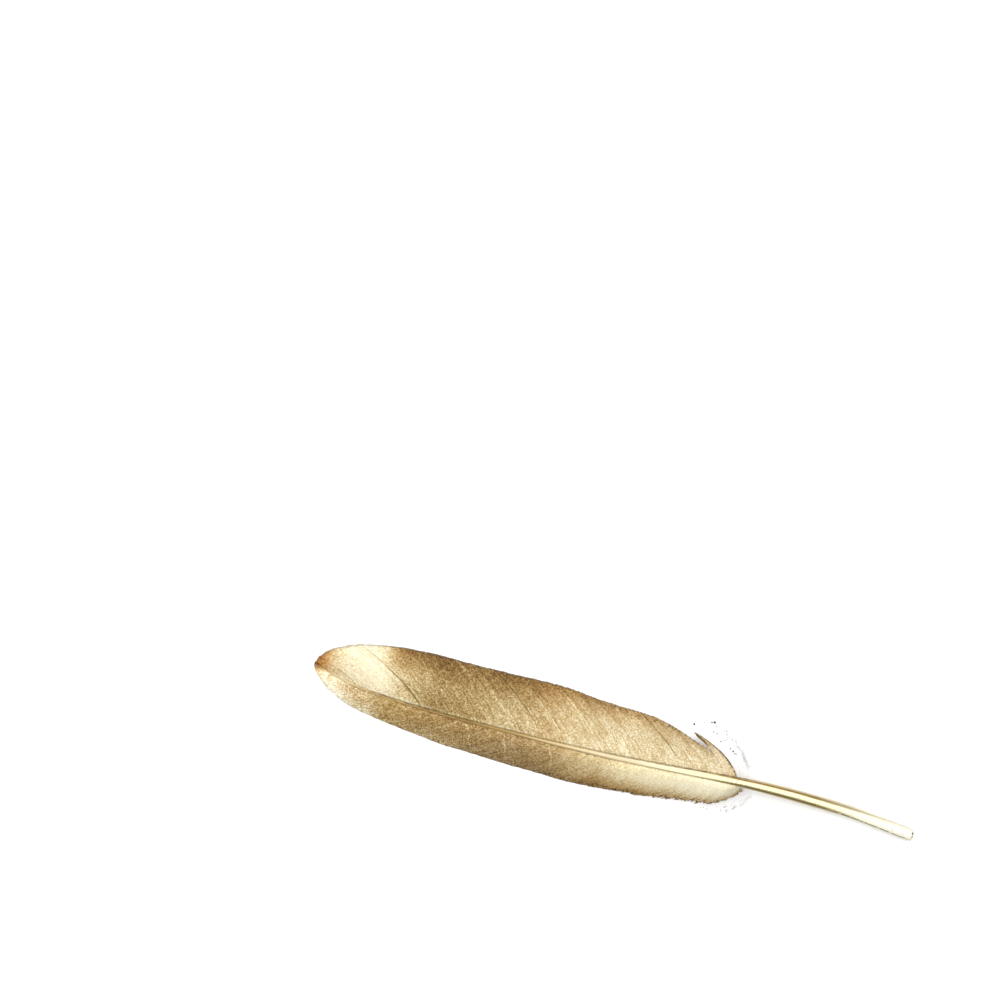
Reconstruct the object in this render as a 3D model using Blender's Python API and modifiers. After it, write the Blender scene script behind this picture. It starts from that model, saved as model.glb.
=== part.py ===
# A gilded goose quill feather, lying on a flat surface with its convex outer side up.
# Metres, +Z up. The tip points along -X, the quill's end along +X and the broad vane lies on +Y.
# Stations run along the feather from its tip: 0 at the tip, LENGTH at the quill's end.
# Tables give stations, widths and heights in millimetres, because a feather is small.

import math
from collections import namedtuple

import bmesh
import bpy
import numpy as np

MM = 0.001

# Driving dimensions
LENGTH = 176.0 * MM
SIDE_SHIFT = -1.35 * MM  # puts the middle of the feather's width on the origin
JOINT_GAP = 0.3 * MM  # between the shaft and what grows from its sides

# The shaft's plan: a slight S, bowed towards the narrow vane along the rachis
SHAFT_LINE = ((0, 0.0), (9.6, -2.3), (18, -3.1), (32, -3.5), (49, -3.4), (69, -3.0), (86, -2.2), (100, -1.1),
              (114, 0.2), (122, 0.9), (131, 1.45), (142, 1.7), (154, 1.6), (165, 0.9), (176, -0.1))
# The height of the shaft's axis: the quill's end and the tip lie low, the middle arches clear
SHAFT_RISE = ((3, 0.75), (15, 1.6), (30, 2.7), (50, 3.8), (75, 4.6), (95, 4.7), (114, 4.3), (131, 3.5),
              (150, 2.4), (165, 1.9), (176, 1.85))
SHAFT_HALF_WIDTH = ((3, 0.14), (18, 0.22), (50, 0.32), (69, 0.46), (86, 0.68), (100, 0.84), (114, 1.05),
                    (123, 1.25), (131, 1.5), (142, 1.6), (154, 1.68), (165, 1.82), (172, 1.86), (175, 1.7))
SHAFT_HALF_HEIGHT = ((3, 0.14), (18, 0.3), (50, 0.5), (69, 0.68), (86, 0.85), (100, 1.0), (114, 1.2),
                     (123, 1.38), (131, 1.5), (142, 1.6), (154, 1.68), (165, 1.85), (172, 1.85), (175, 1.7))
RACHIS_FIRST = 3.0 * MM
GROOVE_STATIONS = (118.0 * MM, 126.0 * MM)  # the groove under the rachis runs out between these
GROOVE_DEPTH_SHARE = 0.45  # of the shaft's half height
GROOVE_HALF_ANGLE = math.radians(30)
RACHIS_SQUARENESS = 0.9  # 0 keeps an ellipse, more squares its corners
SHAFT_SIDES = 16
SHAFT_STATION_STEP = 3.6 * MM

# The quill's blunt end, and the small hole that a feather keeps there
QUILL_ROUNDING = 1.2 * MM
QUILL_ROUNDING_STEPS = 3
QUILL_FACE_SHARE = 0.62  # radius of the flat end against the quill's
HOLE_RADIUS = 0.42 * MM
HOLE_DEPTH = 1.6 * MM

# Vane sheets
ROOT_THICKNESS = 0.5 * MM
EDGE_THICKNESS = 0.28 * MM
ROOT_HEIGHT_SHARE = 0.35  # barbs leave the shaft this far above its axis, of its half height
# A barb leaves the shaft steeply and bows towards the tip. Its bow is a share of its length, by station.
BARB_BULGE = ((0, 0.09), (110, 0.09), (123, 0.19))
BARB_BEND_SHARE = 0.36  # where along its length it bends
DROOP_POWER = 1.7  # how late a vane turns down on its way to the edge
BARB_ROWS = 8
LOCK_WIDTH = 3.9 * MM
LOCK_RELIEF = 0.11 * MM  # neighbouring locks of barbs stand this much above and below the sheet
LOCK_TIP_STEP = 0.28 * MM  # and end this much further out or in
FULL_RELIEF_LENGTH = 8.0 * MM  # shorter barbs carry less of both

# Key barbs: the station where each grows from the shaft, then where it ends, as station and side
BROAD_BARBS = ((123.4, 110.4, 10.9), (109.8, 94.3, 12.1), (97.1, 81.0, 12.4), (88.6, 71.1, 13.2),
               (66.1, 47.1, 12.3), (49.1, 30.2, 11.9), (40.7, 21.5, 11.0), (31.6, 13.0, 9.3),
               (23.7, 6.5, 7.1), (18.1, 2.8, 4.4), (12.4, 0.8, 2.2), (6.8, 0.1, 0.8), (3.4, 0.0, 0.25))
NARROW_BARBS = ((124.5, 126.2, -1.4), (123.4, 123.6, -4.2), (121.1, 118.3, -7.3), (118.3, 113.5, -8.1),
                (105.6, 95.7, -10.8), (85.8, 74.0, -12.6), (57.6, 44.0, -12.3), (40.7, 28.5, -11.0),
                (25.1, 14.7, -9.2), (18.1, 9.0, -7.5), (9.6, 3.4, -4.1), (5.0, 0.9, -1.8), (2.8, 0.1, -0.6))
BROAD_DOWN_BARBS = ((124.4, 109.0, 14.0), (124.9, 112.0, 15.4), (125.4, 116.6, 14.4), (125.9, 121.2, 11.4),
                    (126.4, 124.8, 7.6))
NARROW_DOWN_BARBS = ((128.4, 127.2, -5.2), (128.0, 124.5, -7.6), (127.6, 120.5, -9.2), (127.2, 116.0, -9.6))

# Height of each sheet's upper side along its edge, by station. The vanes touch the table between 40 and 70.
BROAD_EDGE_LIFT = ((0, 0.3), (15, 0.12), (40, 0.0), (70, 0.0), (95, 0.5), (111, 1.3))
NARROW_EDGE_LIFT = ((0, 0.3), (15, 0.14), (40, 0.0), (70, 0.0), (95, 0.45), (115, 1.2), (127, 2.2))
BROAD_DOWN_LIFT = ((108, 0.5), (125, 1.8))
NARROW_DOWN_LIFT = ((116, 0.5), (128, 1.6))
DOWN_THICKNESS = 0.3 * MM
DOWN_BULGE = ((120, 0.27), (130, 0.27))  # down curls round the vane's last barbs

# A split in a vane: the station where the two parted barbs grow, the share of their length that still
# holds together and the width of the gap at the edge
Split = namedtuple("Split", "station held gap")
BROAD_SPLITS = (Split(120.5, 0.5, 1.4), Split(57.0, 0.8, 0.5), Split(31.6, 0.12, 0.4))
NARROW_SPLITS = (Split(14.6, 0.7, 0.5), Split(118.5, 0.85, 0.5))
SPLIT_ROOT_STEP = 0.25 * MM  # between the two barbs at a split, where they grow
SPLIT_CLEARANCE = 0.4  # of the usual step between barbs, kept free of others on each side

GOLD = (0.60, 0.43, 0.20, 1.0)
DOWN_GREY = (0.74, 0.70, 0.66, 1.0)


def smooth(knots, station, unit=MM):
    """The value at a station, on a curve through the knots that never swings past them."""
    table = np.array(sorted(knots), float)
    x, y = table[:, 0] * MM, table[:, 1] * unit
    step = np.diff(x)
    slope = np.diff(y) / step
    tangent = np.zeros(len(x))
    tangent[0], tangent[-1] = slope[0], slope[-1]
    same_way = slope[:-1] * slope[1:] > 0
    mean = 2 * slope[:-1] * slope[1:] / np.where(same_way, slope[:-1] + slope[1:], 1)
    tangent[1:-1] = np.where(same_way, mean, 0)
    s = np.clip(station, x[0], x[-1])
    i = np.clip(np.searchsorted(x, s) - 1, 0, len(step) - 1)
    t = (s - x[i]) / step[i]
    return ((1 + 2 * t) * (1 - t) ** 2 * y[i] + t * (1 - t) ** 2 * step[i] * tangent[i]
            + t * t * (3 - 2 * t) * y[i + 1] + t * t * (t - 1) * step[i] * tangent[i + 1])


def place(station, side, height):
    """A station, side and height on the feather as a point in space."""
    return (station - LENGTH / 2, side + SIDE_SHIFT, height)


def shaft_half_width(station):
    return float(smooth(SHAFT_HALF_WIDTH, station))


def shaft_half_height(station):
    return float(smooth(SHAFT_HALF_HEIGHT, station))


def shaft_ring(station, width, height):
    """One cross-section of the shaft: round along the quill, and boxier with a groove below along the rachis."""
    first, last = GROOVE_STATIONS
    rachis = min(max((last - station) / (last - first), 0.0), 1.0)
    power = 2 / (2 + RACHIS_SQUARENESS * rachis)
    ring = []
    for i in range(SHAFT_SIDES):
        angle = 2 * math.pi * i / SHAFT_SIDES
        c, s = math.cos(angle), math.sin(angle)
        across = math.copysign(abs(c) ** power, c) * width
        up = math.copysign(abs(s) ** power, s) * height
        from_below = (angle - 1.5 * math.pi) / GROOVE_HALF_ANGLE
        up += rachis * GROOVE_DEPTH_SHARE * height * math.exp(-(from_below ** 2))
        side = float(smooth(SHAFT_LINE, station)) + across
        ring.append(place(station, side, float(smooth(SHAFT_RISE, station)) + up))
    return ring


def shaft_rings():
    """The shaft's cross-sections from the rachis's tip to the floor of the hole in the quill's end."""
    round_from = LENGTH - QUILL_ROUNDING
    count = round((round_from - RACHIS_FIRST) / SHAFT_STATION_STEP)
    rings = []
    for station in np.linspace(RACHIS_FIRST, round_from, count + 1):
        rings.append(shaft_ring(station, shaft_half_width(station), shaft_half_height(station)))
    end_radius = shaft_half_width(round_from)
    for step in range(1, QUILL_ROUNDING_STEPS + 1):
        turn = math.pi / 2 * step / QUILL_ROUNDING_STEPS
        station = round_from + QUILL_ROUNDING * math.sin(turn)
        radius = end_radius * (QUILL_FACE_SHARE + (1 - QUILL_FACE_SHARE) * math.cos(turn))
        rings.append(shaft_ring(station, radius, radius))
    rings.append(shaft_ring(LENGTH, HOLE_RADIUS, HOLE_RADIUS))
    rings.append(shaft_ring(LENGTH - HOLE_DEPTH, HOLE_RADIUS, HOLE_RADIUS))
    return rings


def add_object(name, mesh_builder, material, parent):
    """Finishes a bmesh as a named object with its own material, under the feather's empty."""
    bmesh.ops.recalc_face_normals(mesh_builder, faces=mesh_builder.faces)
    mesh = bpy.data.meshes.new(name)
    mesh_builder.to_mesh(mesh)
    mesh_builder.free()
    mesh.materials.append(material)
    mesh.shade_smooth()
    obj = bpy.data.objects.new(name, mesh)
    parent.users_collection[0].objects.link(obj)
    obj.parent = parent
    return obj


def make_shaft(material, parent):
    """Calamus and rachis, one tapering horn shaft lofted through its cross-sections."""
    bm = bmesh.new()
    rings = [[bm.verts.new(point) for point in ring] for ring in shaft_rings()]
    for near, far in zip(rings, rings[1:]):
        for i in range(SHAFT_SIDES):
            j = (i + 1) % SHAFT_SIDES
            bm.faces.new((near[i], near[j], far[j], far[i]))
    bm.faces.new(rings[0])
    bm.faces.new(rings[-1])
    return add_object("shaft", bm, material, parent)


def barb_roots(barbs, spacing, splits):
    """Where the modelled barbs grow, a close pair at each split: (station, its split, side of the split)."""
    low, high = sorted((barbs[0][0] * MM, barbs[-1][0] * MM))
    roots = []
    for station in np.linspace(low, high, round((high - low) / spacing) + 1):
        if all(abs(station - split.station * MM) > SPLIT_CLEARANCE * spacing for split in splits):
            roots.append((float(station), None, 0))
    for split in splits:
        roots.append((split.station * MM - SPLIT_ROOT_STEP / 2, split, -1))
        roots.append((split.station * MM + SPLIT_ROOT_STEP / 2, split, 1))
    return sorted(roots, key=lambda root: root[0])


def barb_point(root, end, bulge, share):
    """A point in plan at a share of a barb's length, on an arc from root to end."""
    root, end = np.array(root), np.array(end)
    run = end - root
    outward = np.array((run[1], -run[0])) * math.copysign(1, run[1])
    control = root + run * BARB_BEND_SHARE + outward * bulge
    return (1 - share) ** 2 * root + 2 * share * (1 - share) * control + share ** 2 * end


def barb_sheet(name, material, parent, barbs, edge_lift, spacing, splits=(), thickness=ROOT_THICKNESS,
               bulge=BARB_BULGE):
    """A closed thin sheet of barbs: one column of points a barb, its locks in relief, its splits open."""
    side = math.copysign(1, barbs[0][2])
    end_station = [(root, station) for root, station, _ in barbs]
    end_side = [(root, across) for root, _, across in barbs]
    bm = bmesh.new()
    columns = []
    roots = barb_roots(barbs, spacing, splits)
    for i, (station, split, split_side) in enumerate(roots):
        axis_side = float(smooth(SHAFT_LINE, station))
        root = (station, axis_side + side * (shaft_half_width(station) + JOINT_GAP))
        end = np.array((float(smooth(end_station, station)), float(smooth(end_side, station))))
        length = np.linalg.norm(end - root)
        lock = -1 if i % 2 else 1
        reach = min(1.0, length / FULL_RELIEF_LENGTH)
        end = end + (end - root) / length * lock * LOCK_TIP_STEP * reach
        if split:
            end[0] += split_side * split.gap * MM / 2
        root_height = float(smooth(SHAFT_RISE, station)) + ROOT_HEIGHT_SHARE * shaft_half_height(station)
        edge_height = EDGE_THICKNESS + float(smooth(edge_lift, end[0]))
        column = []
        for row in range(BARB_ROWS + 1):
            share = row / BARB_ROWS
            point = barb_point(root, end, float(smooth(bulge, station, 1)), share)
            height = root_height + (edge_height - root_height) * share ** DROOP_POWER
            height += lock * LOCK_RELIEF / 2 * math.sin(math.pi * share) * reach
            column.append(bm.verts.new(place(point[0], point[1], height)))
        columns.append(column)
    for i, (near, far) in enumerate(zip(columns, columns[1:])):
        split = roots[i][1] if roots[i][2] == -1 else None
        rows = math.ceil(split.held * BARB_ROWS) if split else BARB_ROWS
        for row in range(rows):
            bm.faces.new((near[row], near[row + 1], far[row + 1], far[row]))
    obj = add_object(name, bm, material, parent)
    thin_to_edge(obj, thickness)
    return obj


def thin_to_edge(obj, thickness):
    """Gives an open sheet its thickness downwards, full at the shaft and thin along the edge."""
    mesh = obj.data
    if sum(face.normal.z for face in mesh.polygons) < 0:
        mesh.flip_normals()
    group = obj.vertex_groups.new(name="thickness")
    for vertex in mesh.vertices:
        share = (vertex.index % (BARB_ROWS + 1)) / BARB_ROWS
        group.add([vertex.index], 1 - share, "REPLACE")
    solidify = obj.modifiers.new("sheet", "SOLIDIFY")
    solidify.thickness = thickness
    solidify.offset = -1
    solidify.vertex_group = group.name
    solidify.thickness_vertex_group = EDGE_THICKNESS / thickness


def make_material(name, colour, metallic, roughness):
    material = bpy.data.materials.new(name)
    material.use_nodes = True
    shader = material.node_tree.nodes["Principled BSDF"]
    shader.inputs["Base Color"].default_value = colour
    shader.inputs["Metallic"].default_value = metallic
    shader.inputs["Roughness"].default_value = roughness
    material.diffuse_color = colour
    return material


def make_feather():
    for old in list(bpy.data.objects):
        bpy.data.objects.remove(old)
    collection = bpy.data.collections.new("goose_quill_feather")
    bpy.context.scene.collection.children.link(collection)
    feather = bpy.data.objects.new("feather", None)
    collection.objects.link(feather)
    make_shaft(make_material("gilded_shaft", GOLD, 0.9, 0.25), feather)
    barb_sheet("broad_vane", make_material("gilded_broad_vane", GOLD, 0.9, 0.42), feather,
               BROAD_BARBS, BROAD_EDGE_LIFT, LOCK_WIDTH / 2, BROAD_SPLITS)
    barb_sheet("narrow_vane", make_material("gilded_narrow_vane", GOLD, 0.9, 0.42), feather,
               NARROW_BARBS, NARROW_EDGE_LIFT, LOCK_WIDTH / 2, NARROW_SPLITS)
    barb_sheet("broad_side_down", make_material("broad_down", DOWN_GREY, 0.0, 0.9), feather,
               BROAD_DOWN_BARBS, BROAD_DOWN_LIFT, 0.25 * MM, thickness=DOWN_THICKNESS, bulge=DOWN_BULGE)
    barb_sheet("narrow_side_down", make_material("narrow_down", DOWN_GREY, 0.0, 0.9), feather,
               NARROW_DOWN_BARBS, NARROW_DOWN_LIFT, 0.2 * MM, thickness=DOWN_THICKNESS, bulge=DOWN_BULGE)


make_feather()
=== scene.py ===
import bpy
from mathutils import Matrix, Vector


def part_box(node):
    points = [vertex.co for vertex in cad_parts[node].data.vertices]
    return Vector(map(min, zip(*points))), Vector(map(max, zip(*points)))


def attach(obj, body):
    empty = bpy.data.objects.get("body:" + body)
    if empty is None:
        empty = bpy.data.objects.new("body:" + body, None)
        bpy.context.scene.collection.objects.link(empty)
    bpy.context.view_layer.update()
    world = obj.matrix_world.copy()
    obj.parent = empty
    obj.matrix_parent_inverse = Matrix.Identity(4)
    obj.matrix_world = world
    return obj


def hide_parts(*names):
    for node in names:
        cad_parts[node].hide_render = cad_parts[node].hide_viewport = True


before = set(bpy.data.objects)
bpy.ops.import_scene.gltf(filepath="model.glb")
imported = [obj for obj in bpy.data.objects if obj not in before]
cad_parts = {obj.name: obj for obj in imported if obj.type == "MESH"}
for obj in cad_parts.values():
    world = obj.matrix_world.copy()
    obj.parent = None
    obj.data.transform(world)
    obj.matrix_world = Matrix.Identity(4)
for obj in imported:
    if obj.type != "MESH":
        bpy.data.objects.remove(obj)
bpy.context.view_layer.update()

import math

import bpy
import numpy as np
from mathutils import Vector

# The shaft
# One tapering piece of horn, sprayed gold: the calamus is a bare round quill, cut blunt at its end, and the
# rachis above it is boxier, with a groove along its underside. The gold is thick and glossy on top of the
# quill; the olive and brown bands along its sides are painted reflections of the dim room and shaded table.
MM = 0.001
quill_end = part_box("shaft")[1].x
length = quill_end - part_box("broad_vane")[0].x - 0.12 * MM
side_shift = -1.35 * MM  # from the line between tip and quill end to the middle of the feather's width

# Stations run from the vanes' tip to the quill's end; tables give them, and what they hold, in millimetres
shaft_line = ((0, 0.0), (9.6, -2.3), (18, -3.22), (32, -3.66), (41, -3.66), (49, -3.42), (69, -2.8),
              (86, -1.97), (100, -0.9), (114, 0.34), (122, 0.98), (131, 1.47), (142, 1.7), (154, 1.6),
              (165, 0.9), (176, -0.1))
shaft_rise = ((3, 0.75), (15, 1.6), (30, 2.7), (50, 3.8), (75, 4.6), (95, 4.7), (114, 4.3), (131, 3.5),
              (150, 2.4), (165, 1.9), (176, 1.85))
shaft_half_width = ((1, 0.08), (3, 0.14), (18, 0.28), (32, 0.33), (50, 0.38), (69, 0.5), (86, 0.68),
                    (100, 0.84), (114, 1.05), (123, 1.25), (131, 1.52), (142, 1.65), (154, 1.72),
                    (165, 1.82), (172, 1.86), (175, 1.7))
shaft_half_height = ((1, 0.08), (3, 0.14), (18, 0.3), (50, 0.5), (69, 0.68), (86, 0.85), (100, 1.0),
                     (114, 1.2), (123, 1.38), (131, 1.5), (142, 1.6), (154, 1.68), (165, 1.85), (172, 1.85),
                     (175, 1.7))
groove_from, groove_to = 118 * MM, 126 * MM  # the groove runs out between these
groove_depth_share = 0.45
groove_half_angle = math.radians(30)
rachis_squareness = 0.9
rachis_first = 1 * MM  # nearer the tip it is too fine to matter
shaft_sides = 48
shaft_step = 0.7 * MM
end_rounding = 0.45 * MM
end_face_share = 0.76
rounding_steps = 6
end_hole_depth = 1.6 * MM
# From the end face down into its hole: share of the hole's depth, and radius
end_hole_rings = ((0, 0.75), (0, 0.5), (0.1, 0.42), (0.6, 0.4), (1.0, 0.3))
# Lengthwise ripples where the quill was scraped clean: how high, how many round it, and how they turn
scrape_ripple, scrape_ridges, scrape_turn = 0.02 * MM, 7, 9 * MM
# Dried drops of paint at the quill's end: station, side from nought to one, size and strength
end_drops = ((175.75, 0.68, 0.5, 1.0), (175.8, 0.42, 0.4, 0.8), (169.8, 0.37, 0.4, 0.35),
             (172.9, 0.34, 0.3, 0.35), (172.3, 0.45, 0.25, 0.3), (174.6, 0.6, 0.3, 0.3))


def smooth(knots, station, unit=MM):
    """Values at stations on a curve through the knots that never swings past them."""
    table = np.array(sorted(knots), float)
    x, y = table[:, 0] * MM, table[:, 1] * unit
    step = np.diff(x)
    slope = np.diff(y) / step
    tangent = np.zeros(len(x))
    tangent[0], tangent[-1] = slope[0], slope[-1]
    same_way = slope[:-1] * slope[1:] > 0
    mean = 2 * slope[:-1] * slope[1:] / np.where(same_way, slope[:-1] + slope[1:], 1)
    tangent[1:-1] = np.where(same_way, mean, 0)
    s = np.clip(station, x[0], x[-1])
    i = np.clip(np.searchsorted(x, s) - 1, 0, len(step) - 1)
    t = (s - x[i]) / step[i]
    return ((1 + 2 * t) * (1 - t) ** 2 * y[i] + t * (1 - t) ** 2 * step[i] * tangent[i]
            + t * t * (3 - 2 * t) * y[i + 1] + t * t * (t - 1) * step[i] * tangent[i + 1])


def place(station, side, height):
    """Stations, sides and heights on the feather as points in space."""
    return np.stack(np.broadcast_arrays(station + quill_end - length, side + side_shift, height), axis=-1)


def new_piece(name, points, faces, material, marks=None):
    """A mesh object of the feather, smooth, with its material, and marks that the material reads."""
    mesh = bpy.data.meshes.new(name)
    mesh.from_pydata(np.asarray(points).reshape(-1, 3).tolist(), [], faces)
    mesh.materials.append(material)
    mesh.shade_smooth()
    for mark, values in (marks or {}).items():
        layer = mesh.attributes.new(mark, "FLOAT", "POINT")
        layer.data.foreach_set("value", np.asarray(values, np.float32).ravel())
    piece = bpy.data.objects.new(name, mesh)
    bpy.context.scene.collection.objects.link(piece)
    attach(piece, "root")
    return piece


def tube_faces(rings, sides, first=0):
    """Faces of a closed tube whose points run ring by ring."""
    faces = []
    for ring in range(rings - 1):
        for i in range(sides):
            j = (i + 1) % sides
            a, b = first + ring * sides, first + (ring + 1) * sides
            faces.append((a + i, a + j, b + j, b + i))
    faces.append(tuple(first + i for i in reversed(range(sides))))
    faces.append(tuple(first + (rings - 1) * sides + i for i in range(sides)))
    return faces


def shaft_ring(station, width, height):
    """Points round the shaft at a station, from its broad side over the top."""
    angle = np.linspace(0, 2 * math.pi, shaft_sides, endpoint=False)
    rachis = min(max((groove_to - station) / (groove_to - groove_from), 0.0), 1.0)
    power = 2 / (2 + rachis_squareness * rachis)
    c, s = np.cos(angle), np.sin(angle)
    ripple = 1 + scrape_ripple / max(width, MM) * np.sin(scrape_ridges * angle + station / scrape_turn)
    across = np.sign(c) * np.abs(c) ** power * width * ripple
    up = np.sign(s) * np.abs(s) ** power * height * ripple
    from_below = (angle - 1.5 * math.pi) / groove_half_angle
    up += rachis * groove_depth_share * height * np.exp(-(from_below ** 2))
    return place(station, smooth(shaft_line, station) + across, smooth(shaft_rise, station) + up)


def shaft_rings():
    """Stations of the rings from the rachis' tip to the quill's end and into its hole, and their points."""
    round_from = length - end_rounding
    stations = list(np.linspace(rachis_first, round_from, round(round_from / shaft_step)))
    points = [shaft_ring(s, smooth(shaft_half_width, s), smooth(shaft_half_height, s)) for s in stations]
    radius = smooth(shaft_half_width, round_from)
    for turn in np.linspace(0, math.pi / 2, rounding_steps + 1)[1:]:
        r = radius * (end_face_share + (1 - end_face_share) * math.cos(turn))
        stations.append(round_from + end_rounding * math.sin(turn))
        points.append(shaft_ring(stations[-1], r, r))
    for depth, r in end_hole_rings:
        stations.append(length - depth * end_hole_depth)
        points.append(shaft_ring(stations[-1], r * MM, r * MM))
    return np.array(stations), np.array(points)


def feed(tree, socket, value):
    """Sets a socket to a value, or links it where the value is another node's socket."""
    if isinstance(value, bpy.types.NodeSocket):
        tree.links.new(value, socket)
    else:
        socket.default_value = value


def add(tree, kind, **settings):
    """A shader node. A setting sets the socket or property of its name, or links it where it is a socket."""
    node = tree.nodes.new("ShaderNode" + kind)
    for name, value in settings.items():
        words = name.replace("_", " ")
        socket = next((s for s in node.inputs if s.name.lower() == words and s.enabled), None)
        if socket is None:
            setattr(node, name, value)
        else:
            feed(tree, socket, value)
    return node


def math_node(tree, operation, a, b=0.0):
    node = tree.nodes.new("ShaderNodeMath")
    node.operation = operation
    feed(tree, node.inputs[0], a)
    feed(tree, node.inputs[1], b)
    return node.outputs[0]


def plus(tree, a, b):
    return math_node(tree, "ADD", a, b)


def minus(tree, a, b):
    return math_node(tree, "SUBTRACT", a, b)


def times(tree, a, b):
    return math_node(tree, "MULTIPLY", a, b)


def clipped(tree, value):
    """The value, kept between nought and one."""
    return math_node(tree, "MINIMUM", math_node(tree, "MAXIMUM", value, 0.0), 1.0)


def blend_colours(tree, share, first, second, kind="MIX"):
    node = tree.nodes.new("ShaderNodeMix")
    node.data_type, node.blend_type = "RGBA", kind
    colours = [s for s in node.inputs if s.type == "RGBA"]
    for socket, value in ((node.inputs[0], share), (colours[0], first), (colours[1], second)):
        feed(tree, socket, value)
    return next(s for s in node.outputs if s.type == "RGBA")


def ramp(tree, share, stops):
    """A colour ramp: stops are (position, grey level) or (position, colour)."""
    node = tree.nodes.new("ShaderNodeValToRGB")
    elements = node.color_ramp.elements
    while len(elements) < len(stops):
        elements.new(0.5)
    for element, (position, value) in zip(elements, stops):
        element.position = position
        element.color = (*value, 1) if isinstance(value, tuple) else (value, value, value, 1)
    tree.links.new(share, node.inputs[0])
    return node.outputs[0]


def group_with(name, inputs, outputs):
    """An empty shader node group with these sockets, and its input and output nodes."""
    tree = bpy.data.node_groups.new(name, "ShaderNodeTree")
    for socket, default in inputs:
        made = tree.interface.new_socket(socket, in_out="INPUT", socket_type="NodeSocketFloat")
        made.default_value = default
    for socket, kind in outputs:
        tree.interface.new_socket(socket, in_out="OUTPUT", socket_type="NodeSocket" + kind)
    return tree, tree.nodes.new("NodeGroupInput"), tree.nodes.new("NodeGroupOutput")


def mark(tree, name):
    return add(tree, "Attribute", attribute_name=name).outputs["Fac"]


def over_length(tree, stops):
    """A ramp along the feather: stops are (station in millimetres, grey level or colour)."""
    return ramp(tree, mark(tree, "along"), [(s * MM / length, v) for s, v in stops])


def noise_in_space(tree, **settings):
    """Noise that runs through the whole object."""
    where = add(tree, "TexCoord").outputs["Object"]
    return add(tree, "TexNoise", vector=where, **settings).outputs[0]


def noise_along(tree, per_length):
    """Noise that changes only lengthwise, to break up lines along the feather."""
    where = add(tree, "CombineXYZ", x=times(tree, mark(tree, "along"), per_length))
    return add(tree, "TexNoise", vector=where.outputs[0], scale=1.0, detail=1.0).outputs[0]


def swayed(tree, tone, value, weight):
    """The tone, moved up and down by a value that lies around a half."""
    centred = minus(tree, value, 0.5)
    return plus(tree, tone, times(tree, centred, weight))


def gold_flake_group():
    """Flakes of metal lying at all angles in the paint: a value for each flake, and how proud it stands."""
    tree, given, result = group_with("gold_flakes", (("Flakes per mm", 4.0), ("Contrast", 1.0)),
                                     (("Flake", "Float"), ("Height", "Float")))
    flake_weight, dust_weight, dust_fineness = 0.9, 0.4, 0.45
    usual_level = (flake_weight + dust_weight) / 2
    where = add(tree, "TexCoord").outputs["Object"]
    per_metre = times(tree, given.outputs["Flakes per mm"], 1 / MM)
    flakes = add(tree, "TexVoronoi", vector=where, scale=per_metre, randomness=1.0)
    parted = add(tree, "SeparateColor", color=flakes.outputs["Color"])
    dust = noise_in_space(tree, scale=times(tree, per_metre, dust_fineness), detail=3.0)
    both = plus(tree, times(tree, parted.outputs[0], flake_weight), times(tree, dust, dust_weight))
    centred = minus(tree, both, usual_level)
    level = plus(tree, times(tree, centred, given.outputs["Contrast"]), 0.5)
    tree.links.new(level, result.inputs["Flake"])
    tree.links.new(both, result.inputs["Height"])
    return tree


def paint_speck_group():
    """Small dark beads of dried paint, few or many: one on a speck, nought between."""
    tree, given, result = group_with("paint_specks", (("Specks per mm", 1.5), ("Share Bare", 0.6)),
                                     (("Speck", "Float"),))
    sharpness = 14.0  # of a speck's edge
    per_metre = times(tree, given.outputs["Specks per mm"], 1 / MM)
    noise = noise_in_space(tree, scale=per_metre, detail=2.0, roughness=0.6)
    above = minus(tree, noise, given.outputs["Share Bare"])
    speck = clipped(tree, times(tree, above, sharpness))
    tree.links.new(speck, result.inputs["Speck"])
    return tree


gold_flakes = gold_flake_group()
paint_specks = paint_speck_group()


def placed_group(tree, group, **values):
    node = tree.nodes.new("ShaderNodeGroup")
    node.node_tree = group
    for name, value in values.items():
        feed(tree, node.inputs[name.replace("_", " ")], value)
    return node


def new_material(name, metallic, roughness):
    material = bpy.data.materials.new(name)
    material.use_nodes = True
    shader = material.node_tree.nodes["Principled BSDF"]
    shader.inputs["Metallic"].default_value = metallic
    shader.inputs["Roughness"].default_value = roughness
    return material, material.node_tree, shader


def finish_with(tree, shader, colour, roughness, height, bump_distance, bump_strength):
    """Links a finished colour, roughness and relief to the shader."""
    tree.links.new(colour, shader.inputs["Base Color"])
    tree.links.new(roughness, shader.inputs["Roughness"])
    bump = add(tree, "Bump", strength=bump_strength, distance=bump_distance, height=height)
    tree.links.new(bump.outputs[0], shader.inputs["Normal"])


def line_across(tree, across, middle, half_width):
    """One on a line along the shaft, falling to nought at its half width on both sides."""
    off = math_node(tree, "ABSOLUTE", minus(tree, across, middle))
    return math_node(tree, "MAXIMUM", minus(tree, 1.0, math_node(tree, "DIVIDE", off, half_width)), 0.0)


def drop_on_shaft(tree, across, station, side, size):
    """One on a small dried drop of paint. Station and size are in millimetres, side from nought to one."""
    quill_width, sharpness = 3.5, 2.0
    past = minus(tree, mark(tree, "along"), station * MM / length)
    along = times(tree, past, length / MM)
    aside = times(tree, minus(tree, across, side), quill_width)
    squares = [math_node(tree, "POWER", math_node(tree, "ABSOLUTE", v), 2.0) for v in (along, aside)]
    away = math_node(tree, "SQRT", plus(tree, *squares))
    inside = minus(tree, 1.0, math_node(tree, "DIVIDE", away, size))
    return clipped(tree, times(tree, inside, sharpness))


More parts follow.
